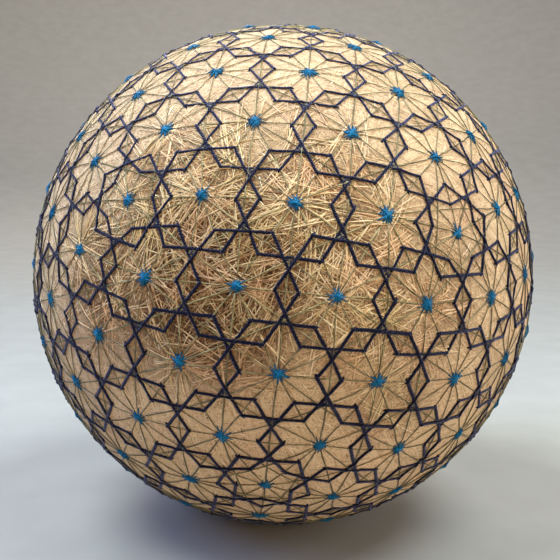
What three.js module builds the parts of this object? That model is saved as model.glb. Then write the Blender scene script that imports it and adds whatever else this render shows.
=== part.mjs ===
// A hand-wound thread ball, embroidered all over with interlocking hexagons and a few pentagons.
// Millimetres, +Z up. The origin is the middle of the small flat spot that the ball rests on.
//
// The ball is one solid of its wound form: a core wrapped in batting, yarn and thread, with the
// stitched threads laid over it. Its outline reaches as far as the tops of the stitched threads.
// The flat spot is where the soft winding gives under the ball's own weight.

import * as THREE from "three";

// Driving dimensions
const BALL_DIAMETER = 100; // over the stitched threads, about 314 mm around
const FOOT_DIAMETER = 14; // flat spot under the ball
const STEPS_ROUND = 72; // facets around the upright axis, a multiple of four
const STEPS_LOW = 17; // facets from the flat spot's edge up to the widest girth
const STEPS_HIGH = 19; // facets from the widest girth up to the top

const BALL_RADIUS = BALL_DIAMETER / 2;
const FOOT_RADIUS = FOOT_DIAMETER / 2;
const CENTRE_HEIGHT = Math.sqrt(BALL_RADIUS ** 2 - FOOT_RADIUS ** 2);
const FOOT_ANGLE = -Math.acos(FOOT_RADIUS / BALL_RADIUS); // of the spot's edge, from the girth

// Half outline of the ball, from the middle of the flat spot, out over its edge, past the widest
// girth and back to the axis at the top. x is the distance from the axis and y the height.
function ballOutline() {
  const outline = [new THREE.Vector2(0, 0), new THREE.Vector2(FOOT_RADIUS, 0)];
  const rise = (angle) =>
    new THREE.Vector2(
      BALL_RADIUS * Math.cos(angle),
      CENTRE_HEIGHT + BALL_RADIUS * Math.sin(angle),
    );
  for (let i = 1; i <= STEPS_LOW; i++)
    outline.push(rise(FOOT_ANGLE * (1 - i / STEPS_LOW)));
  for (let i = 1; i < STEPS_HIGH; i++)
    outline.push(rise(((Math.PI / 2) * i) / STEPS_HIGH));
  outline.push(new THREE.Vector2(0, CENTRE_HEIGHT + BALL_RADIUS));
  return outline;
}

// The winding: straw, cream and tan thread, dull and fibrous.
const windingMaterial = new THREE.MeshStandardMaterial({
  color: new THREE.Color(0.62, 0.46, 0.31),
  roughness: 0.85,
  metalness: 0.0,
});

const ball = new THREE.Mesh(
  new THREE.LatheGeometry(ballOutline(), STEPS_ROUND),
  windingMaterial,
);
ball.name = "wound_ball";
ball.rotation.x = Math.PI / 2; // the outline's axis stands up along +Z

const temari = new THREE.Group();
temari.add(ball);

export default temari;
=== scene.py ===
import math

import bpy
import numpy as np
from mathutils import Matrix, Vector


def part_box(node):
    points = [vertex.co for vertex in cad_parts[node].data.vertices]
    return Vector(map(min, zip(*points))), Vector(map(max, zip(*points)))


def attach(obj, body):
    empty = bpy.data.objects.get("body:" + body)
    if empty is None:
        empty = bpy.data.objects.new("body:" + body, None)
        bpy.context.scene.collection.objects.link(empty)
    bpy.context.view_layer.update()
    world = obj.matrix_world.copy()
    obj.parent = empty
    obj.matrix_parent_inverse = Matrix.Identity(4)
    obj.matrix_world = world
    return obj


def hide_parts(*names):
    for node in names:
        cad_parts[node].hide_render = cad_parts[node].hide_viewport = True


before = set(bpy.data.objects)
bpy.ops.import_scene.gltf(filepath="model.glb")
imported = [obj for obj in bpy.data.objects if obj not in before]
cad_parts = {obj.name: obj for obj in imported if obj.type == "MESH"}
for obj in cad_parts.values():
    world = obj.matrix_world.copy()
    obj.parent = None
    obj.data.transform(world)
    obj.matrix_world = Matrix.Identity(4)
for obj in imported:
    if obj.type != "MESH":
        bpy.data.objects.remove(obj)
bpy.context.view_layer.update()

# A hand-wound thread ball. Sizes are millimetres here, and become metres when a mesh is written.
FOOT_LOW, FOOT_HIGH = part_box("wound_ball")
R_OUT = (FOOT_HIGH.x - FOOT_LOW.x) * 500.0  # reach of the stitched threads
CENTRE = np.array([0.0, 0.0, FOOT_HIGH.z * 1000.0 - R_OUT])
R_WRAP = R_OUT - 0.75  # surface of the winding under the stitches
LIFT = 6.0  # degrees that the camera looks down
rng = np.random.default_rng(20417)


# ---------------------------------------------------------------- small maths
def unit(v):
    return v / np.linalg.norm(v, axis=-1, keepdims=True)


def slerp(a, b, t):
    w = math.acos(float(np.clip(a @ b, -1, 1)))
    return (math.sin((1 - t) * w) * a + math.sin(t * w) * b) / math.sin(w)


def turn(vector):
    """Rotation matrix of a rotation vector."""
    angle = np.linalg.norm(vector)
    x, y, z = vector / angle
    k = np.array([[0, -z, y], [z, 0, -x], [-y, x, 0]])
    return np.eye(3) + math.sin(angle) * k + (1 - math.cos(angle)) * k @ k


def lin(r, g, b, a=1.0):
    """A colour given as 0 to 255 screen values, as linear light."""
    c = [v / 255 for v in (r, g, b)]
    return (*[v / 12.92 if v <= 0.04045 else ((v + 0.055) / 1.055) ** 2.4 for v in c], a)


def yarn(r, g, b):
    """A colour of the wound threads, all of them a touch warmer than given."""
    return lin(r, g * 0.976, b * 0.985)


# Axes of the main view: right, up and towards the camera
e = math.radians(LIFT)
VIEW = np.array([[1, 0, 0], [0, math.sin(e), math.cos(e)], [0, -math.cos(e), math.sin(e)]]).T


# ---------------------------------------------------------------- the division of the ball
# Twelve poles, thirty lines between them, twenty triangles: each line has three cells between its
# ends and each triangle three inside, so there are 162 cells, twelve of them with five sides.
def division():
    g = (1 + 5**0.5) / 2
    poles = []
    for a in (-1, 1):
        for b in (-g, g):
            poles += [(0, a, b), (a, b, 0), (b, 0, a)]
    poles = unit(np.array(poles, float))
    # Degrees by which the pins were set off their true places, along and across
    off = [(0.9, -0.3), (-1.5, 0.2), (0.4, 1.0), (0.7, -0.8), (0.6, 0.4), (1.7, 0.2),
           (-0.5, 0.7), (-1.6, -0.5), (-1.0, -1.5), (1.0, -1.1), (0.3, -0.8), (1.0, -1.4)]
    moved = []
    for p, (a, b) in zip(poles, off):
        u = unit(np.cross(p, (0, 0, 1)))
        moved.append(unit(p + math.radians(a) * u + math.radians(b) * np.cross(p, u)))
    gap = np.linalg.norm(poles[:, None] - poles[None], axis=2)
    near = gap < gap[gap > 1e-6].min() * 1.01
    pairs = [(i, j) for i in range(12) for j in range(i + 1, 12) if near[i, j]]
    cells = list(moved)
    for i, j in pairs:
        for t in (0.5, 0.241, 0.759):
            cells.append(slerp(moved[i], moved[j], t))
    for i, j in pairs:
        for k in range(j + 1, 12):
            if near[i, k] and near[j, k]:
                middle = unit(moved[i] + moved[j] + moved[k])
                cells += [slerp(middle, moved[m], 0.269) for m in (i, j, k)]
    return unit(np.array(cells)) @ turn(np.array([-0.9745, -0.6021, 0.7452])).T @ VIEW.T


CELLS = division()
N = len(CELLS)
angles = np.arccos(np.clip(CELLS @ CELLS.T, -1, 1))
JOINED = (angles < math.radians(23)) & (angles > 0.01)
RING = []  # each cell's neighbours, in order round it
for i, c in enumerate(CELLS):
    u = unit(np.cross(c, (0.31, 0.52, 0.79)))
    v = np.cross(c, u)
    found = np.flatnonzero(JOINED[i])
    RING.append([int(j) for j in sorted(found, key=lambda j: math.atan2(CELLS[j] @ v, CELLS[j] @ u))])
if sorted({len(r) for r in RING}) != [5, 6] or sum(len(r) == 5 for r in RING) != 12:
    raise RuntimeError("the division of the ball is not twelve five-sided and 150 six-sided cells")


# ---------------------------------------------------------------- fields over the ball's surface
def seen_at(x, y, depth):
    """Direction from the ball's centre of a place given in the main view's axes."""
    return unit(np.array([x, y, depth])) @ VIEW.T


# Where the last wrapping is loose straw-like strands over a darker layer, and how wide that is
LOOSE = [
    (seen_at(-0.27, 0.17, 0.94), 0.27, 0.85),
    (seen_at(0.09, 0.16, 0.98), 0.27, 0.75),
    (seen_at(-0.20, 0.00, 0.98), 0.28, 1.0),
    (seen_at(0.22, -0.08, 0.97), 0.21, 0.65),
    (seen_at(0.45, -0.04, 0.89), 0.19, 0.45),
    (seen_at(0.33, -0.38, 0.86), 0.14, 0.42),
    (seen_at(-0.55, 0.02, 0.83), 0.20, 0.6),
    (seen_at(0.85, 0.25, -0.45), 0.42, 0.9),
    (seen_at(-0.35, 0.55, -0.75), 0.45, 0.9),
    (seen_at(0.25, -0.35, -0.90), 0.40, 1.0),
    (seen_at(-0.95, -0.20, -0.25), 0.32, 0.8),
]
# Where the winding is painted darker as shade: a soft shadow over the front, and patches like it round the back
SHADY = [
    (seen_at(-0.23, -0.05, 0.97), 0.24, 1.0),
    (seen_at(-0.06, -0.02, 0.99), 0.18, 0.6),
    (seen_at(-0.50, -0.12, 0.86), 0.20, 0.6),
    (seen_at(0.90, 0.10, -0.42), 0.25, 0.8),
    (seen_at(-0.30, 0.40, -0.86), 0.25, 0.8),
]


def field(places, spots):
    """How far each direction lies inside the spots, 0 to 1."""
    out = np.zeros(places.shape[:-1])
    for middle, width, weight in spots:
        off = np.arccos(np.clip(places @ middle, -1, 1))
        out = np.maximum(out, weight * np.exp(-((off / (width * 1.25)) ** 4)))
    return out


def pressed(places):
    """1 in the small diamonds and triangles where the outlines meet and press the winding down, 0 elsewhere. It sets
    the painted shade that the raised outlines would cast there.
    """
    flat = places.reshape(-1, 3)
    out = np.empty(len(flat))
    for k in range(0, len(flat), 20000):
        second = np.partition(flat[k : k + 20000] @ CELLS.T, -2, axis=1)[:, -2]
        out[k : k + 20000] = np.degrees(np.arccos(np.clip(second, -1, 1)))
    return np.clip((10.7 - out) / 0.9, 0, 1).reshape(places.shape[:-1])


waves = unit(rng.normal(size=(24, 3)))
wave_turns = rng.uniform(0, 2 * math.pi, 24)


def rough(places, scale):
    """A smooth uneven value over the ball, about -1 to 1."""
    return np.cos(places @ waves.T * scale + wave_turns).sum(-1) / 5.0


# ---------------------------------------------------------------- writing meshes
def settle(points):
    """Threads under the ball are pressed flat where it rests."""
    low = points[..., 2] < 0.02
    points[..., 2] = np.where(low, 0.02 + (points[..., 2] - 0.02) * 0.02, points[..., 2])
    return points


def write(name, points, quads, tris, material, uv=None, values=None, smooth=True):
    """A mesh object from points in mm. uv is one pair for each corner, quads first; values maps a name to one number for each point."""
    points = settle(np.asarray(points, float).reshape(-1, 3)) * 0.001
    quads = np.asarray(quads, np.int32).reshape(-1, 4)
    tris = np.asarray(tris, np.int32).reshape(-1, 3)
    mesh = bpy.data.meshes.new(name)
    corners = np.concatenate([quads.ravel(), tris.ravel()])
    starts = np.concatenate([np.arange(len(quads)) * 4, len(quads) * 4 + np.arange(len(tris)) * 3])
    mesh.vertices.add(len(points))
    mesh.vertices.foreach_set("co", points.astype(np.float32).ravel())
    mesh.loops.add(len(corners))
    mesh.loops.foreach_set("vertex_index", corners)
    mesh.polygons.add(len(starts))
    mesh.polygons.foreach_set("loop_start", starts.astype(np.int32))
    mesh.polygons.foreach_set("use_smooth", np.full(len(starts), smooth))
    mesh.update(calc_edges=True)
    if mesh.validate():
        print("repaired", name)
    if uv is not None:
        mesh.uv_layers.new(name="along").data.foreach_set("uv", np.asarray(uv, np.float32).ravel())
    for key, numbers in (values or {}).items():
        mesh.attributes.new(key, "FLOAT", "POINT").data.foreach_set("value", np.asarray(numbers, np.float32).ravel())
    obj = bpy.data.objects.new(name, mesh)
    bpy.context.scene.collection.objects.link(obj)
    mesh.materials.append(material)
    return obj


def tubes(paths, up, wide, high, section, values=None):
    """Closed threads with pointed ends. paths is (threads, rings, 3), and its first and last rings are the tips. section is in degrees round the thread, 90 away from the ball.
    Returns points, quads, tris, corner pairs (mm along, turns round), and the values spread to the points."""
    paths, up = np.asarray(paths, float), np.asarray(up, float)
    count, rings, _ = paths.shape
    along = np.gradient(paths, axis=1)
    side = unit(np.cross(along, up))
    up = unit(np.cross(side, along))
    turns = np.radians(np.asarray(section, float))
    k = len(turns)
    inner = rings - 2
    wide = np.broadcast_to(np.asarray(wide, float), (count, rings))[:, 1:-1, None, None]
    high = np.broadcast_to(np.asarray(high, float), (count, rings))[:, 1:-1, None, None]
    body = (
        paths[:, 1:-1, None]
        + side[:, 1:-1, None] * np.cos(turns)[None, None, :, None] * wide
        + up[:, 1:-1, None] * np.sin(turns)[None, None, :, None] * high
    )
    per = inner * k + 2
    points = np.empty((count, per, 3))
    points[:, : inner * k] = body.reshape(count, -1, 3)
    points[:, inner * k] = paths[:, 0]
    points[:, inner * k + 1] = paths[:, -1]
    i, j = np.meshgrid(np.arange(inner - 1), np.arange(k), indexing="ij")
    a, b = i * k + j, i * k + (j + 1) % k
    quads = np.stack([a, a + k, b + k, b], -1).reshape(-1, 4)
    jj = np.arange(k)
    first = np.stack([np.full(k, inner * k), jj, (jj + 1) % k], -1)
    last = np.stack([np.full(k, inner * k + 1), (inner - 1) * k + (jj + 1) % k, (inner - 1) * k + jj], -1)
    tris = np.concatenate([first, last])
    base = (np.arange(count) * per)[:, None, None]
    # where each corner is along and round the thread
    step = np.linalg.norm(np.diff(paths, axis=1), axis=2)
    s = np.concatenate([np.zeros((count, 1)), np.cumsum(step, 1)], 1)  # (count, rings)
    t = np.append(turns, turns[0] + 2 * math.pi) / (2 * math.pi)
    si, jf = s[:, 1:-1], j.ravel()
    ii = i.ravel()
    uq = np.stack([si[:, ii], si[:, ii + 1], si[:, ii + 1], si[:, ii]], -1)
    vq = np.broadcast_to(np.stack([t[jf], t[jf], t[jf + 1], t[jf + 1]], -1), uq.shape)
    uvq = np.stack([uq, vq], -1).reshape(-1, 2)
    mid = (t[:-1] + t[1:]) / 2
    uf = np.stack([np.repeat(s[:, :1], k, 1), np.repeat(s[:, 1:2], k, 1), np.repeat(s[:, 1:2], k, 1)], -1)
    vf = np.broadcast_to(np.stack([mid, t[:-1], t[1:]], -1), uf.shape)
    ul = np.stack([np.repeat(s[:, -1:], k, 1), np.repeat(s[:, -2:-1], k, 1), np.repeat(s[:, -2:-1], k, 1)], -1)
    vl = np.broadcast_to(np.stack([mid, t[1:], t[:-1]], -1), ul.shape)
    uvt = np.stack([np.concatenate([uf, ul], 1), np.concatenate([vf, vl], 1)], -1).reshape(-1, 2)
    spread = {}
    for key, v in (values or {}).items():
        v = np.asarray(v, float)
        if v.ndim == 1:
            spread[key] = np.repeat(v, per)
        else:  # one for each ring
            whole = np.empty((count, per))
            whole[:, : inner * k] = np.repeat(v[:, 1:-1], k, axis=1)
            whole[:, inner * k] = v[:, 0]
            whole[:, inner * k + 1] = v[:, -1]
            spread[key] = whole.ravel()
    return (
        points.reshape(-1, 3),
        (quads[None] + base).reshape(-1, 4),
        (tris[None] + base).reshape(-1, 3),
        np.concatenate([uvq, uvt]),
        spread,
    )


def join(parts):
    """Several results of tubes as one."""
    points, quads, tris, uvq, uvt, values = [], [], [], [], [], {}
    n = 0
    for p, q, t, uv, v in parts:
        points.append(p)
        quads.append(q + n)
        tris.append(t + n)
        uvq.append(uv[: len(q) * 4])
        uvt.append(uv[len(q) * 4 :])
        for key, numbers in v.items():
            values.setdefault(key, []).append(numbers)
        n += len(p)
    return (
        np.concatenate(points),
        np.concatenate(quads),
        np.concatenate(tris),
        np.concatenate(uvq + uvt),
        {k: np.concatenate(v) for k, v in values.items()},
    )


# ---------------------------------------------------------------- materials
class Nodes:
    """Short names for building a node tree."""

    def __init__(self, name):
        self.material = bpy.data.materials.new(name)
        self.material.use_nodes = True
        self.tree = self.material.node_tree
        self.shader = self.tree.nodes["Principled BSDF"]

    def new(self, kind, **settings):
        node = self.tree.nodes.new(kind)
        for key, value in settings.items():
            setattr(node, key, value)
        return node

    def link(self, a, b):
        self.tree.links.new(a, b)

    def feed(self, socket, value):
        if isinstance(value, bpy.types.NodeSocket):
            self.link(value, socket)
        else:
            socket.default_value = value

    def math(self, operation, a, b=0.0, c=0.0, clamp=False):
        n = self.new("ShaderNodeMath", operation=operation, use_clamp=clamp)
        for socket, value in zip(n.inputs, (a, b, c)):
            self.feed(socket, value)
        return n.outputs[0]

    def value(self, name):
        return self.new("ShaderNodeAttribute", attribute_name=name).outputs["Fac"]

    def noise(self, vector, scale, detail=2.0, rough=0.5, out="Fac"):
        n = self.new("ShaderNodeTexNoise")
        self.link(vector, n.inputs["Vector"])
        n.inputs["Scale"].default_value = scale
        n.inputs["Detail"].default_value = detail
        n.inputs["Roughness"].default_value = rough
        return n.outputs[out]

    def ramp(self, factor, stops):
        n = self.new("ShaderNodeValToRGB")
        self.link(factor, n.inputs[0])
        ramp = n.color_ramp
        while len(ramp.elements) < len(stops):
            ramp.elements.new(0.5)
        for element, (place, colour) in zip(ramp.elements, stops):
            element.position = place
            element.color = colour
        return n.outputs["Color"]

    def mix(self, factor, a, b, blend="MIX"):
        n = self.new("ShaderNodeMix", data_type="RGBA", blend_type=blend)
        self.feed(n.inputs["Factor"], factor)
        self.feed(n.inputs["A"], a)
        self.feed(n.inputs["B"], b)
        return n.outputs["Result"]

    def range(self, value, a, b, c=0.0, d=1.0):
        n = self.new("ShaderNodeMapRange")
        for socket, v in zip(n.inputs, (value, a, b, c, d)):
            self.feed(socket, v)
        return n.outputs[0]

    def place(self):
        return self.new("ShaderNodeTexCoord").outputs["Object"]

    def bump(self, height, distance, strength=1.0, under=None):
        n = self.new("ShaderNodeBump")
        n.inputs["Strength"].default_value = strength
        n.inputs["Distance"].default_value = distance
        self.link(height, n.inputs["Height"])
        if under is not None:
            self.link(under, n.inputs["Normal"])
        return n.outputs["Normal"]


def set_shader(shader, **numbers):
    names = {
        "rough": "Roughness", "spec": "Specular IOR Level", "sheen": "Sheen Weight",
        "sheen_rough": "Sheen Roughness", "sheen_tint": "Sheen Tint", "metal": "Metallic",
        "aniso": "Anisotropic", "aniso_turn": "Anisotropic Rotation", "spec_tint": "Specular Tint",
    }
    for key, value in numbers.items():
        shader.inputs[names[key]].default_value = value


def winding_material():
    """The wound layers under the strands: threads lying side by side, in patches that cross each other."""
    m = Nodes("winding_under")
    place = m.place()
    loose = m.value("loose")
    shade = m.value("shade")
    facing = m.new("ShaderNodeVectorMath", operation="NORMALIZE")
    shifted = m.new("ShaderNodeVectorMath", operation="SUBTRACT")
    m.link(place, shifted.inputs[0])
    shifted.inputs[1].default_value = tuple(CENTRE * 0.001)
    m.link(shifted.outputs[0], facing.inputs[0])
    wobble = m.noise(place, 240.0, 2.0, 0.5)
    tone = height = None
    chance = np.random.default_rng(77)
    for k in range(8):
        axis = unit(chance.normal(size=3))
        run = m.new("ShaderNodeVectorMath", operation="DOT_PRODUCT")
        m.link(place, run.inputs[0])
        run.inputs[1].default_value = tuple(axis * chance.uniform(5200, 7200))
        turns = m.math("ADD", run.outputs["Value"], m.math("MULTIPLY", wobble, 2.2 + k * 0.3))
        profile = m.math("ABSOLUTE", m.math("SINE", m.math("MULTIPLY", turns, math.pi)))
        one = m.new("ShaderNodeTexWhiteNoise", noise_dimensions="1D")
        m.link(m.math("ADD", m.math("FLOOR", turns), 57.0 * k), one.inputs["W"])
        tone_k = m.math("MULTIPLY", one.outputs["Value"], m.math("POWER", profile, 0.35))
        if tone is None:
            tone, height = tone_k, profile
            continue
        turned = m.new("ShaderNodeVectorMath", operation="DOT_PRODUCT")
        m.link(facing.outputs[0], turned.inputs[0])
        turned.inputs[1].default_value = tuple(axis)
        square_on = m.range(m.math("ABSOLUTE", turned.outputs["Value"]), 0.75, 0.6)
        patch = m.new("ShaderNodeVectorMath", operation="ADD")
        m.link(place, patch.inputs[0])
        patch.inputs[1].default_value = tuple(chance.uniform(0, 5, 3))
        here = m.range(m.noise(patch.outputs[0], 420.0 - 20 * k, 2.0, 0.55), 0.50, 0.53)
        here = m.math("MULTIPLY", here, square_on)
        tone = m.math("ADD", m.math("MULTIPLY", tone, m.math("SUBTRACT", 1.0, here)), m.math("MULTIPLY", tone_k, here))
        height = m.math("ADD", m.math("MULTIPLY", height, m.math("SUBTRACT", 1.0, here)), m.math("MULTIPLY", m.math("ADD", profile, 0.25), here))
    fleck = m.noise(place, 3000.0, 3.0, 0.65)
    broad = m.noise(place, 95.0, 3.0, 0.6)
    smooth_colour = m.ramp(tone, [
        (0.0, yarn(150, 122, 88)), (0.2, yarn(184, 157, 119)), (0.55, yarn(207, 183, 145)), (1.0, yarn(219, 199, 165)),
    ])
    loose_colour = m.ramp(tone, [
        (0.0, yarn(44, 27, 13)), (0.35, yarn(96, 66, 34)), (0.7, yarn(152, 118, 68)), (1.0, yarn(200, 168, 108)),
    ])
    colour = m.mix(loose, smooth_colour, loose_colour)
    tint = m.ramp(broad, [
        (0.25, lin(242, 222, 208)), (0.5, lin(255, 250, 238)), (0.75, lin(238, 240, 214)),
    ])
    colour = m.mix(0.5, colour, tint, "MULTIPLY")
    colour = m.mix(m.range(fleck, 0.60, 0.70, 0.0, 0.8), colour, lin(98, 72, 46))
    # painted shade: the winding is darkened where the shadow spots and the shade between the outlines fall
    colour = m.mix(m.math("MULTIPLY", shade, 0.75), colour, lin(132, 104, 76), "MULTIPLY")
    m.link(colour, m.shader.inputs["Base Color"])
    m.link(m.range(fleck, 0.3, 0.7, 0.62, 0.9), m.shader.inputs["Roughness"])
    set_shader(m.shader, spec=0.12, sheen=0.08, sheen_rough=0.5, sheen_tint=lin(250, 250, 240))
    m.link(m.bump(height, 0.00005, 1.0, m.bump(fleck, 0.00003, 0.5)), m.shader.inputs["Normal"])
    return m.material


def strand_material(name, smooth_stops, loose_stops, rough, spec, sheen, fibre, shaded, tinted):
    """Thread or straw-like strand. tone picks each strand's colour, from one scale where the wrapping lies smooth and another where it is loose."""
    m = Nodes(name)
    place = m.place()
    tone = m.value("tone")
    shade = m.value("shade")
    colour = m.mix(m.value("loose"), m.ramp(tone, smooth_stops), m.ramp(tone, loose_stops))
    mottled = m.noise(place, 1100.0, 3.0, 0.6)
    wear_and_top_light = m.math("MULTIPLY", m.range(mottled, 0.35, 0.75, 0.0, 1.0), m.range(m.value("loose"), 0.0, 1.0, 0.18, 0.42))
    colour = m.mix(wear_and_top_light, colour, lin(158, 122, 88), "MULTIPLY")
    fleck = m.noise(place, 3300.0, 2.0, 0.6)
    colour = m.mix(m.range(fleck, 0.60, 0.68, 0.0, 0.75), colour, lin(110, 78, 50))
    # painted glints: sparse bright flecks are mixed into the colour, more of them where the wrapping is loose
    painted_glint = m.math("MULTIPLY", m.range(fleck, 0.40, 0.33, 0.0, 0.5), m.range(m.value("loose"), 0.0, 1.0, 0.35, 1.0))
    colour = m.mix(painted_glint, colour, lin(250, 238, 214))
    broad = m.noise(place, 110.0, 3.0, 0.6)
    tint = m.ramp(broad, [(0.28, lin(248, 216, 208)), (0.5, lin(255, 250, 246)), (0.72, lin(242, 240, 212))])
    colour = m.mix(tinted, colour, tint, "MULTIPLY")
    held = m.range(tone, 0.35, 0.95, shaded, shaded * 0.4)  # the palest strands lie on top and keep more of the light
    # painted shade: the strands are darkened where the shadow spots and the shade between the outlines fall
    colour = m.mix(m.math("MULTIPLY", shade, held), colour, lin(142, 114, 92), "MULTIPLY")
    m.link(colour, m.shader.inputs["Base Color"])
    along = m.new("ShaderNodeUVMap", uv_map="along").outputs["UV"]
    stretch = m.new("ShaderNodeMapping")
    m.link(along, stretch.inputs["Vector"])
    stretch.inputs["Scale"].default_value = (1.0, 9.0, 1.0)
    fibres = m.noise(stretch.outputs["Vector"], 2.2, 3.0, 0.65)
    bright = m.range(tone, 0.96, 0.99, 0.0, 0.5)  # the few short metallic strands
    m.link(bright, m.shader.inputs["Metallic"])
    m.link(m.math("SUBTRACT", m.range(fibres, 0.3, 0.7, rough - 0.1, rough + 0.12), m.math("MULTIPLY", bright, 0.4)), m.shader.inputs["Roughness"])
    m.link(m.bump(fibres, fibre, 0.8), m.shader.inputs["Normal"])
    set_shader(m.shader, spec=spec, sheen=sheen, sheen_rough=0.4, sheen_tint=lin(252, 244, 232))
    return m.material


def twisted_material(name, dark, body, light, pitch, groove, rough, sheen, tint, gloss, gloss_tint):
    """Two-ply thread: the plies wind round each other along the thread, with fine fibres on them."""
    m = Nodes(name)
    uv = m.new("ShaderNodeUVMap", uv_map="along").outputs["UV"]
    parts = m.new("ShaderNodeSeparateXYZ")
    m.link(uv, parts.inputs[0])
    tone = m.value("tone")
    place = m.place()
    wander = m.noise(place, 700.0, 2.0, 0.5)
    run = m.math("ADD", m.math("DIVIDE", parts.outputs["X"], pitch), m.math("MULTIPLY", wander, 0.35))
    phase = m.math("MULTIPLY", m.math("SUBTRACT", parts.outputs["Y"], m.math("ADD", run, tone)), 4 * math.pi)
    ply = m.math("ABSOLUTE", m.math("COSINE", m.math("MULTIPLY", phase, 0.5)))
    ply = m.math("POWER", ply, 0.6)
    fibre_run = m.math("SINE", m.math("ADD", m.math("MULTIPLY", phase, 5.5), m.math("MULTIPLY", m.noise(place, 3500.0), 7.0)))
    fibre = m.range(fibre_run, -1.0, 1.0)
    # painted shade in the grooves between the plies and a painted highlight on their crowns
    colour = m.ramp(ply, [(0.0, dark), (0.55, body), (1.0, light)])
    mottled = m.noise(place, 420.0, 3.0, 0.6)
    colour = m.mix(m.range(mottled, 0.35, 0.8, 0.0, 0.6), colour, body)
    colour = m.mix(m.math("MULTIPLY", fibre, 0.22), colour, dark)
    colour = m.mix(m.math("MULTIPLY", tone, 0.4), colour, dark)
    colour = m.mix(m.math("MULTIPLY", m.value("tip"), 0.75), colour, dark)  # ends pulled down between the strands, painted darker there as shade
    m.link(colour, m.shader.inputs["Base Color"])
    m.link(m.range(fibre, 0.0, 1.0, rough + 0.1, rough - 0.08), m.shader.inputs["Roughness"])
    m.link(m.range(m.value("wear_and_top_light"), 0.0, 1.0, sheen, sheen * 2.8), m.shader.inputs["Sheen Weight"])
    set_shader(m.shader, spec=gloss, sheen_rough=0.35, sheen_tint=tint, spec_tint=gloss_tint, aniso=0.55, aniso_turn=0.25)
    m.link(m.new("ShaderNodeTangent", direction_type="UV_MAP", uv_map="along").outputs[0], m.shader.inputs["Tangent"])
    m.link(m.bump(ply, groove, 1.0, m.bump(fibre, groove * 0.25, 0.7)), m.shader.inputs["Normal"])
    return m.material


def guide_material():
    m = Nodes("guide_strand")
    uv = m.new("ShaderNodeUVMap", uv_map="along").outputs["UV"]
    place = m.place()
    parts = m.new("ShaderNodeSeparateXYZ")
    m.link(uv, parts.inputs[0])
    wrap = m.math("SINE", m.math("ADD", m.math("MULTIPLY", parts.outputs["X"], 14.0), m.math("MULTIPLY", parts.outputs["Y"], 2 * math.pi)))
    wrap = m.range(wrap, -1.0, 1.0)
    patches = m.noise(place, 480.0, 3.0, 0.6)
    colour = m.ramp(patches, [(0.3, lin(70, 61, 38)), (0.5, lin(104, 94, 63)), (0.72, lin(152, 142, 104))])
    pale = m.ramp(patches, [(0.3, lin(104, 90, 52)), (0.5, lin(150, 136, 90)), (0.72, lin(192, 178, 130))])
    # paler toward the top of the ball as painted light from above, and paler where the wrapping is loose
    colour = m.mix(m.math("MAXIMUM", m.math("MULTIPLY", m.value("loose"), 0.8), m.value("wear_and_top_light")), colour, pale)
    colour = m.mix(m.math("MULTIPLY", wrap, 0.3), colour, lin(64, 56, 40))
    tack = m.range(m.value("tone"), 1.2, 1.8)
    colour = m.mix(tack, colour, lin(20, 23, 52))  # the tacks are drawn down between the outlines, and painted near-black as the shade in the small triangle there
    m.link(colour, m.shader.inputs["Base Color"])
    m.link(m.range(wrap, 0.0, 1.0, 0.5, 0.34), m.shader.inputs["Roughness"])
    set_shader(m.shader, spec=0.3, metal=0.0, sheen=0.05, sheen_rough=0.4)
    m.link(m.range(tack, 0.0, 1.0, 0.5, 0.0), m.shader.inputs["Metallic"])
    m.link(m.bump(wrap, 0.00003, 0.8), m.shader.inputs["Normal"])
    return m.material


UNDER = winding_material()
FINE = strand_material(
    "fine_winding",
    [(0.0, yarn(197, 170, 132)), (0.3, yarn(206, 181, 143)), (0.6, yarn(210, 187, 149)), (0.8, yarn(211, 187, 155)),
     (0.9, yarn(206, 193, 156)), (1.0, yarn(213, 196, 165))],
    [(0.0, yarn(46, 28, 14)), (0.25, yarn(98, 68, 36)), (0.5, yarn(154, 120, 74)), (0.65, yarn(172, 158, 112)),
     (0.8, yarn(206, 180, 130)), (1.0, yarn(232, 214, 168))],
    0.75, 0.06, 0.04, 0.00002, 0.9, 0.4,
)
STRAW = strand_material(
    "straw_winding",
    [(0.0, yarn(190, 160, 118)), (0.5, yarn(214, 190, 148)), (0.94, yarn(228, 208, 170)), (1.0, yarn(255, 250, 222))],
    [(0.0, yarn(84, 54, 26)), (0.2, yarn(152, 110, 61)), (0.4, yarn(204, 167, 105)), (0.55, yarn(200, 184, 124)),
     (0.7, yarn(222, 196, 138)), (0.94, yarn(232, 214, 164)), (1.0, yarn(255, 250, 215))],
    0.48, 0.24, 0.04, 0.00002, 0.85, 0.8,
)
NAVY = twisted_material("outline_ply", lin(1, 1, 1), lin(4, 3, 4), lin(8, 7, 18), 0.95, 0.00009, 0.42, 0.5, lin(160, 162, 216), 0.12, lin(190, 190, 255))
BLUE = twisted_material("star_ply", lin(0, 6, 26), lin(0, 60, 106), lin(4, 136, 180), 0.8, 0.00003, 0.42, 0.05, lin(170, 235, 235), 0.4, lin(150, 225, 255))
GUIDE = guide_material()


# ---------------------------------------------------------------- the ball under the strands
def make_ball():
    import bmesh
    bm = bmesh.new()
    bmesh.ops.create_icosphere(bm, subdivisions=6, radius=1.0)
    mesh = bpy.data.meshes.new("tmp")
    bm.to_mesh(mesh)
    bm.free()
    co = np.empty(len(mesh.vertices) * 3, np.float32)
    mesh.vertices.foreach_get("co", co)
    out = unit(co.reshape(-1, 3).astype(float))
    faces = np.empty(len(mesh.loops), np.int32)
    mesh.loops.foreach_get("vertex_index", faces)
    bpy.data.meshes.remove(mesh)
    # the winding is a little uneven: long shallow swells and the ridges of thicker bundles
    height = 0.035 * rough(out, 7.0) + 0.02 * rough(out, 19.0)
    points = CENTRE + out * (R_WRAP - 0.05 + np.clip(height, -0.09, 0.06))[:, None]
    ball = write("wound_ball_surface", points, np.zeros((0, 4)), faces.reshape(-1, 3), UNDER,
                 values={"loose": field(out, LOOSE), "shade": np.maximum(field(out, SHADY), 0.22 * pressed(out))})
    return ball


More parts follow.
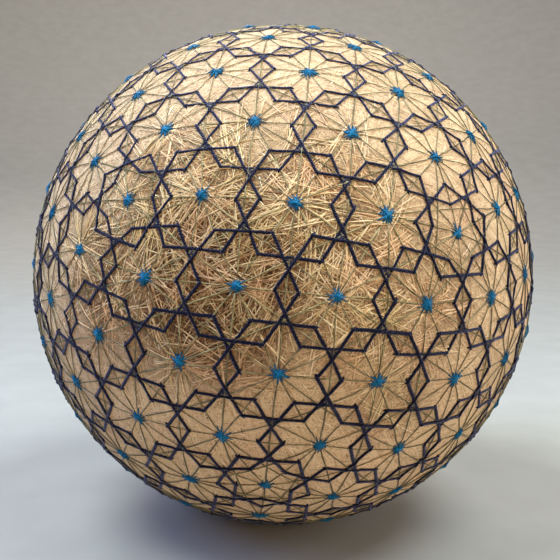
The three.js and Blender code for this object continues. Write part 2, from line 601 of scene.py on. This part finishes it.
# ---------------------------------------------------------------- the strands of the winding
def lay(start, heading, long, wide, flat, rings, heights, tone, bend, ripple=0.022):
    """Strands on the ball with their middles at start, going both ways along heading. Their pointed ends go down between the others."""
    count = len(start)
    across = np.cross(start, heading)
    f = np.linspace(-0.5, 0.5, rings)
    f = np.sign(f) * (np.abs(f) * 2) ** 0.85 / 2
    s = f[None] * long[:, None] / R_WRAP
    bow = rng.normal(0, bend, count)[:, None] * ((f[None] * 2) ** 2 - 0.4)
    n = unit(
        np.cos(s)[..., None] * start[:, None]
        + np.sin(s)[..., None] * heading[:, None]
        + (bow / R_WRAP)[..., None] * across[:, None]
    )
    h = rng.uniform(*heights, count)[:, None] + rng.normal(0, ripple, (count, rings))
    h[:, 0] = h[:, -1] = -0.16
    h[:, 1] = h[:, 1] * 0.45 - 0.02
    h[:, -2] = h[:, -2] * 0.45 - 0.02
    w = rng.uniform(*wide, count)[:, None] / 2 * np.ones(rings)
    w = w * (1 - 0.35 * np.abs(f * 2)[None] ** 6)
    paths = CENTRE + n * (R_WRAP + h)[..., None]
    return tubes(paths, n, w, w * flat, (90, 210, 330), {
        "tone": tone(count), "shade": np.maximum(field(n, SHADY), 0.12 * pressed(n)), "loose": field(n, LOOSE),
    })


def strands(count, length, wide, flat, rings, heights, tone, bend, keep=None, ripple=0.022):
    """Strands laid round the ball in all directions, pressed under and over each other."""
    start = unit(rng.normal(size=(count, 3)))
    if keep is not None:
        start = start[keep(start) > rng.uniform(0, 1, count)]
    heading = unit(np.cross(start, unit(rng.normal(size=(len(start), 3)))))
    return lay(start, heading, rng.uniform(*length, len(start)), wide, flat, rings, heights, tone, bend, ripple)


def bundles(count, each, length, wide, flat, rings, heights, tone, bend, keep):
    """Small groups of strands that lie nearly side by side, like a turn of wrapping that was laid down together."""
    middle = unit(rng.normal(size=(count, 3)))
    middle = middle[keep(middle) > rng.uniform(0, 1, count)]
    ahead = unit(np.cross(middle, unit(rng.normal(size=(len(middle), 3)))))
    many = rng.integers(each[0], each[1] + 1, len(middle))
    middle, ahead = np.repeat(middle, many, 0), np.repeat(ahead, many, 0)
    total = len(middle)
    across = np.cross(middle, ahead)
    lean = rng.normal(0, 0.07, total)[:, None]
    start = unit(middle + (across * rng.normal(0, 0.42, total)[:, None] + ahead * rng.normal(0, 1.6, total)[:, None]) / R_WRAP)
    heading = ahead * np.cos(lean) + across * np.sin(lean)
    heading = unit(heading - (heading * start).sum(1)[:, None] * start)
    return lay(start, heading, rng.uniform(*length, total), wide, flat, rings, heights, tone, bend)


def rays(each, wide, flat, rings, heights, tone):
    """Strands that run out from the middle of each cell, where the wrapping is loose."""
    start, heading, long = [], [], []
    for c in CELLS:
        loose = float(field(c, LOOSE))
        for _ in range(int(round(each * loose))):
            go = unit(np.cross(c, unit(rng.normal(size=3))))
            near, reach = rng.uniform(0.2, 1.6), rng.uniform(3.0, 8.0)
            shift = np.cross(c, go) * rng.normal(0, 0.28) / R_WRAP
            a = (near + reach / 2) / R_WRAP
            middle = unit(math.cos(a) * c + math.sin(a) * go + shift)
            along = unit(go * math.cos(a) - c * math.sin(a))
            along = unit(along - (along @ middle) * middle + np.cross(middle, along) * rng.normal(0, 0.06))
            start.append(middle)
            heading.append(along)
            long.append(reach)
    return lay(np.array(start), np.array(heading), np.array(long), wide, flat, rings, heights, tone, 0.10)


def between(each, wide, flat, rings, heights, tone):
    """Short strands in the small diamonds where two outlines overlap, pressed down between the stitches. Their darker
    tone is painted shade from the outlines around them.
    """
    start, heading, long = [], [], []
    for i, ring in enumerate(RING):
        for j in ring:
            if i < j:
                middle = unit(CELLS[i] + CELLS[j])
                ahead = unit(CELLS[j] - CELLS[i])
                across = np.cross(middle, ahead)
                for _ in range(each):
                    p, q = rng.uniform(-0.6, 0.6), rng.uniform(-1.2, 1.2)
                    p *= 1 - abs(q) / 2.4
                    place = unit(middle + (ahead * p + across * q) / R_WRAP)
                    lean = rng.normal(0, 0.6)
                    way = unit(across * math.cos(lean) + ahead * math.sin(lean))
                    start.append(place)
                    heading.append(unit(way - (way @ place) * place))
                    long.append(rng.uniform(1.8, 3.6))
    return lay(np.array(start), np.array(heading), np.array(long), wide, flat, rings, heights, tone, 0.05)


# ---------------------------------------------------------------- stitched threads
def arc_points(a, b, s, side_off=0.0):
    """Directions at s mm from a along the arc to b, and past it; side_off in mm moves them sideways."""
    across = unit(np.cross(a, b))
    ahead = np.cross(across, a)
    angle = np.asarray(s) / R_WRAP
    n = np.cos(angle)[:, None] * a + np.sin(angle)[:, None] * ahead
    return unit(n + (np.asarray(side_off) / R_WRAP)[..., None] * across)


def make_outlines():
    corner = {}
    for i, ring in enumerate(RING):
        for j in ring:
            place = slerp(CELLS[i], CELLS[j], 0.625 + rng.normal(0, 0.006))
            across = unit(np.cross(CELLS[i], CELLS[j]))
            corner[i, j] = unit(place + across * rng.normal(0, 0.10) / R_WRAP)
    side = {}
    for i, ring in enumerate(RING):
        for k, j in enumerate(ring):
            after = ring[(k + 1) % len(ring)]
            side[i, frozenset((j, after))] = (corner[i, j], corner[i, after])
    order = rng.permutation(N)
    paths, ups, tones, wide = [], [], [], []
    for (i, pair), (a, b) in side.items():
        full = math.acos(float(np.clip(a @ b, -1, 1))) * R_WRAP
        normal = np.cross(a, b)
        crossings = []
        for j in pair:
            other = side[j, frozenset((pair - {j}) | {i})]
            hit = unit(np.cross(normal, np.cross(*other)))
            hit = hit if hit @ a > 0 else -hit
            crossings.append((math.acos(float(np.clip(hit @ a, -1, 1))) * R_WRAP, order[i] > order[j]))
        crossings.sort()
        (s1, over1), (s2, over2) = crossings
        start, end = np.where(rng.uniform(size=2) < 0.40, rng.uniform(0.7, 1.1, 2), rng.uniform(0.36, 0.6, 2))
        s = np.array([
            -start, -start * 0.62, -start * 0.28, 0.05, 0.4, 0.95,
            s1 - 0.95, s1 - 0.42, s1, (s1 + s2) / 2, s2, s2 + 0.42, s2 + 0.95,
            full - 0.95, full - 0.4, full - 0.05, full + end * 0.28, full + end * 0.62, full + end,
        ])
        first_over = (order[i] + i) % 2 == 0  # which of two threads is on top at this cell's corners
        h = 0.125 + 0.065 * field(arc_points(a, b, s), LOOSE)
        lift = np.zeros(len(s))
        sink = np.zeros(len(s))
        for place, over, width, rise in ((s1, over1, 0.50, 1.0), (s2, over2, 0.50, 1.0), (0.0, first_over, 0.35, 0.55), (full, not first_over, 0.35, 0.55)):
            bump = np.exp(-(((s - place) / width) ** 2))
            if over:
                lift = np.maximum(lift, bump * rise)
            else:
                sink = np.maximum(sink, bump)
        h += 0.23 * lift - 0.07 * sink * (1 - lift)
        h[0] = h[-1] = -0.30
        h[1] = h[1] * 0.35 - 0.06
        h[-2] = h[-2] * 0.35 - 0.06
        bow = rng.normal(0, 0.07) * np.sin(np.pi * np.clip(s / full, 0, 1)) + rng.normal(0, 0.02, len(s))
        n = arc_points(a, b, s, bow)
        paths.append(CENTRE + n * (R_WRAP + h)[:, None])
        ups.append(n)
        tones.append(rng.uniform())
        slack = 1.09 - 0.40 * np.clip(n[:, 2], 0.0, 0.9) - 0.10 * np.clip(n[:, 2], -0.8, 0.0)  # pulled tighter towards the top, where the stitching began
        wide.append(slack * np.clip(rng.normal(0.262, 0.018), 0.22, 0.30) * (1 + rng.normal(0, 0.03, len(s))))
    paths, ups, wide = np.array(paths), np.array(ups), np.array(wide)
    for ring, part in ((1, 0.62), (2, 0.85), (-2, 0.62), (-3, 0.85)):
        wide[:, ring] *= part
    section = (-38, 8, 50, 90, 130, 172, 218)
    half = len(paths) // 2
    pieces = []
    for name, part in (("outline_threads_a", slice(0, half)), ("outline_threads_b", slice(half, None))):
        tip = np.zeros(wide[part].shape)
        tip[:, [0, -1]], tip[:, [1, -2]] = 1.0, 0.5
        wear_and_top_light = np.clip(ups[part][:, :, 2] * 1.3 - 0.3, 0, 1)
        got = tubes(paths[part], ups[part], wide[part], wide[part] * 0.58, section, {"tone": np.array(tones)[part], "tip": tip, "wear_and_top_light": wear_and_top_light})
        pieces.append(write(name, *got[:3], NAVY, got[3], got[4]))
    return pieces


def make_guides():
    parts = []
    short, long = [], []
    for i, ring in enumerate(RING):
        for k, j in enumerate(ring):
            if i < j:
                short.append((CELLS[i], CELLS[j]))
                before = ring[k - 1]
                after = ring[(k + 1) % len(ring)]
                long.append((CELLS[before], CELLS[after]))
    for pairs, rings, low in ((short, 9, 0.12), (long, 14, 0.155)):
        paths, ups = [], []
        for a, b in pairs:
            full = math.acos(float(np.clip(a @ b, -1, 1))) * R_WRAP
            s = np.linspace(0.2, full - 0.2, rings)
            wander = rng.normal(0, 0.10) * np.sin(np.pi * s / full) + rng.normal(0, 0.035, rings)
            n = arc_points(a, b, s, wander)
            h = low + 0.06 * field(n, LOOSE) + rng.normal(0, 0.010, rings)
            paths.append(CENTRE + n * (R_WRAP + h)[:, None])
            ups.append(n)
        wide = rng.normal(0.104, 0.008, (len(pairs), 1)) * (1.06 - 0.20 * np.clip(np.array(ups)[:, :, 2], -0.8, 0.9))
        # the last value rises toward the top of the ball, where the guides are painted paler as light from above
        parts.append(tubes(paths, ups, wide, wide * 0.8, (0, 90, 180, 270), {"tone": rng.uniform(0, 1, len(pairs)), "loose": field(np.array(ups), LOOSE), "wear_and_top_light": np.clip(np.array(ups)[:, :, 2] * 1.4 - 0.55, 0, 0.7)}))
    # small tacks that hold the crossings of the guides down, in the triangle between three outlines; their dark colour
    # is painted shade in that triangle
    paths, ups = [], []
    f = np.linspace(-1, 1, 5)
    for i, ring in enumerate(RING):
        for k, j in enumerate(ring):
            after = ring[(k + 1) % len(ring)]
            if i < min(j, after):
                c = unit(CELLS[i] + CELLS[j] + CELLS[after])
                first = rng.uniform(0, math.pi)
                for level in range(6):
                    a = first + level * math.pi / 6 + rng.normal(0, 0.2)
                    u = unit(np.cross(c, (0.31, 0.52, 0.79)))
                    go = math.cos(a) * u + math.sin(a) * np.cross(c, u)
                    off = rng.normal(0, 0.16, 3)
                    n = unit(c + (off + f[:, None] * go * rng.uniform(0.60, 0.95)) / R_WRAP)
                    h = 0.085 + 0.018 * level + 0.05 * float(field(c, LOOSE)) - 0.26 * f**4
                    paths.append(CENTRE + n * (R_WRAP + h)[:, None])
                    ups.append(n)
    wide = rng.normal(0.125, 0.012, (len(paths), 1)) * np.ones(5)
    parts.append(tubes(paths, ups, wide, wide * 0.8, (0, 90, 180, 270), {"tone": np.full(len(paths), 2.0), "loose": np.zeros(len(paths)), "wear_and_top_light": np.zeros(len(paths))}))
    got = join(parts)
    return write("guide_threads", *got[:3], GUIDE, got[3], got[4])


def make_stars():
    paths, ups, tones, wide = [], [], [], []
    f = np.array([-1.0, -0.84, -0.42, 0.0, 0.42, 0.84, 1.0])
    for i, ring in enumerate(RING):
        c = CELLS[i]
        rays = []
        for k, j in enumerate(ring):
            after = ring[(k + 1) % len(ring)]
            rays.append(CELLS[j])
            rays.append(unit(c + CELLS[j] + CELLS[after]))
        rays = [unit(r - (r @ c) * c) for r in rays]
        half = len(rays) // 2
        middle = unit(c + np.cross(c, rays[0]) * rng.normal(0, 0.10) / R_WRAP + rays[0] * rng.normal(0, 0.10) / R_WRAP)
        for level, k in enumerate(rng.permutation(half)):
            one, two = rays[k], rays[k + half]
            for strand in (-1, 1):
                # each stitch is a flat pair of strands that don't quite lie side by side
                swing = rng.normal(0, 0.10, 2) + 0.05 * strand
                a = unit(one + np.cross(c, one) * swing[0])
                b = unit(two + np.cross(c, two) * swing[1])
                reach = [rng.uniform(1.35, 2.1) if rng.uniform() < 0.6 else rng.uniform(0.9, 1.35) for _ in range(2)]
                apart = 0.07 * strand + rng.normal(0, 0.03)
                flat = np.where(f[:, None] < 0, -f[:, None] * a * reach[0], f[:, None] * b * reach[1])
                across = unit(np.cross(c, b - a))
                flat = flat + across * (apart * (1 - 0.3 * np.abs(f)) + rng.normal(0, 0.02, len(f)))[:, None]
                n = unit(middle + flat / R_WRAP)
                top = 0.13 + 0.052 * level + rng.normal(0, 0.03)
                h = top * (1 - np.abs(f) ** 1.5) + 0.08 * (1 - np.abs(f)) + 0.03
                h[0] = h[-1] = -0.16
                paths.append(CENTRE + n * (R_WRAP + h)[:, None])
                ups.append(n)
                tones.append(rng.uniform())
                wide.append(rng.normal(0.130, 0.012) * (1 - 0.5 * np.abs(f) ** 2))
    wide = np.array(wide)
    tip = np.broadcast_to(np.abs(f) ** 2.5, wide.shape)
    got = tubes(paths, ups, wide, wide, (-30, 42, 90, 138, 210), {"tone": np.array(tones), "tip": tip})
    return write("star_stitches", *got[:3], BLUE, got[3], got[4])


# ---------------------------------------------------------------- making it
ball = make_ball()
def tones(middle, spread):
    return lambda n: np.clip(rng.normal(middle, spread, n), 0, 0.94)


fine_a = join([strands(5400, (12, 24), (0.15, 0.22), 0.34, 7, (-0.03, 0.02), tones(0.52, 0.17), 0.35)])
fine_b = join([
    strands(10100, (4, 11), (0.13, 0.20), 0.34, 5, (-0.02, 0.03), tones(0.52, 0.17), 0.25, keep=lambda p: 1 - 0.55 * field(p, LOOSE), ripple=0.02),
])
fine_a = write("winding_a", *fine_a[:3], FINE, fine_a[3], fine_a[4], smooth=False)
fine_b = write("winding_b", *fine_b[:3], FINE, fine_b[3], fine_b[4], smooth=False)
straw = join([
    strands(15900, (5, 14), (0.14, 0.26), 0.6, 5, (0.01, 0.12), tones(0.24, 0.22), 0.5, keep=lambda p: 0.008 + 0.74 * field(p, LOOSE) ** 1.5),
    bundles(9500, (2, 5), (6, 16), (0.15, 0.31), 0.6, 5, (0.07, 0.20), tones(0.70, 0.28), 0.45, keep=lambda p: 0.80 * field(p, LOOSE) ** 1.5),
    rays(36, (0.15, 0.26), 0.6, 5, (0.13, 0.21), tones(0.72, 0.18)),
    strands(1700, (0.8, 4.5), (0.10, 0.16), 0.6, 5, (0.10, 0.19), lambda n: np.full(n, 1.0), 0.15, keep=lambda p: 0.30 + 0.55 * field(p, LOOSE)),
])
straw_piece = write("straw_strands", *straw[:3], STRAW, straw[3], straw[4])
# darker tones for these strands: painted shade in the diamonds between the outlines
pressed_in = between(3, (0.15, 0.22), 0.62, 5, (0.05, 0.13), tones(0.30, 0.16))
pressed_piece = write("pressed_strands", *pressed_in[:3], FINE, pressed_in[3], pressed_in[4])
guides = make_guides()
outlines = make_outlines()
stars = make_stars()

pieces = [ball, fine_a, fine_b, straw_piece, pressed_piece, guides, *outlines, stars]
for piece in pieces:
    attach(piece, "root")
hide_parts("wound_ball")


# ---------------------------------------------------------------- floor, light and camera
def make_floor():
    """A pale floor that curves up into a backdrop all round."""
    bend = np.linspace(0.12, math.pi / 2, 12)
    rings = [0.0, 0.2, 0.4, 0.6, *(0.6 + 1.2 * np.sin(bend)), 1.8]
    rise = [0.0] * 4 + [*(1.2 * (1 - np.cos(bend))), 2.0]
    n = 72
    points = [(0.0, 0.0, 0.0)]
    for r, z in zip(rings[1:], rise[1:]):
        points += [(r * math.cos(2 * math.pi * i / n), r * math.sin(2 * math.pi * i / n), z) for i in range(n)]
    faces = [(0, 1 + i, 1 + (i + 1) % n) for i in range(n)]
    for k in range(len(rings) - 2):
        for i in range(n):
            a, b = 1 + k * n + i, 1 + k * n + (i + 1) % n
            faces.append((a, a + n, b + n, b))
    mesh = bpy.data.meshes.new("studio_floor")
    mesh.from_pydata(points, [], faces)
    mesh.polygons.foreach_set("use_smooth", [True] * len(faces))
    obj = bpy.data.objects.new("studio_floor", mesh)
    bpy.context.scene.collection.objects.link(obj)
    m = Nodes("studio_paper")
    grain = m.noise(m.place(), 60.0, 3.0, 0.5)
    m.link(m.ramp(grain, [(0.3, lin(146, 142, 135)), (0.7, lin(152, 148, 141))]), m.shader.inputs["Base Color"])
    set_shader(m.shader, rough=0.85, spec=0.2)
    mesh.materials.append(m.material)


make_floor()


def lamp(name, place, size, power, colour, target=(0, 0, 0.05), spread=180):
    from mathutils import Vector
    light = bpy.data.lights.new(name, "AREA")
    light.shape = "DISK"
    light.size = size
    light.energy = power
    light.color = colour
    light.spread = math.radians(spread)
    obj = bpy.data.objects.new(name, light)
    obj.location = place
    obj.rotation_euler = (Vector(target) - Vector(place)).to_track_quat("-Z", "Y").to_euler()
    obj.visible_camera = False
    bpy.context.scene.collection.objects.link(obj)


lamp("key_left", (-0.24, -0.11, 0.60), 0.33, 5.8, (0.77, 0.92, 1.0))
lamp("key_right", (0.28, -0.11, 0.60), 0.33, 5.1, (0.78, 0.92, 1.0))
lamp("left_light", (-0.56, -0.16, 0.46), 0.40, 4.2, (0.28, 0.46, 1.0))
lamp("right_light", (0.60, -0.18, 0.30), 0.40, 1.9, (0.90, 0.95, 1.0))
lamp("low_light", (0.22, -0.72, 0.20), 0.36, 0.39, (1.0, 0.77, 0.54), spread=60)
lamp("back_light", (-0.10, 0.70, 0.52), 0.45, 2.8, (1.0, 0.95, 0.90))
lamp("backdrop_light", (0.0, 0.75, 0.9), 0.6, 8.0, (1.0, 0.97, 0.93), (0, 1.7, 0.35))
world = bpy.data.worlds.new("studio")
world.use_nodes = True
world.node_tree.nodes["Background"].inputs[0].default_value = (1.0, 0.93, 0.84, 1)
world.node_tree.nodes["Background"].inputs[1].default_value = 0.25
bpy.context.scene.world = world

camera = bpy.data.cameras.new("camera")
camera.sensor_width = 36.0
camera.lens = 866.4 / 560 * 36.0
camera.clip_start = 0.005
eye = bpy.data.objects.new("camera", camera)
bpy.context.scene.collection.objects.link(eye)
away = 3.607 * (R_WRAP + 0.25) * 0.001
middle = CENTRE * 0.001
right, up, towards = VIEW.T
from mathutils import Matrix, Vector
place = middle + towards * away
aim = middle + (right * -2.8 + up * -5.1) / 866.4 * away
back = unit(place - aim)
side_axis = unit(np.cross(up, back))
lift_axis = np.cross(back, side_axis)
eye.matrix_world = Matrix([
    [side_axis[0], lift_axis[0], back[0], place[0]],
    [side_axis[1], lift_axis[1], back[1], place[1]],
    [side_axis[2], lift_axis[2], back[2], place[2]],
    [0, 0, 0, 1],
])
bpy.context.scene.camera = eye
bpy.context.scene.view_settings.view_transform = "Standard"

print("triangles", {p.name: sum(len(x.vertices) - 2 for x in p.data.polygons) for p in pieces})
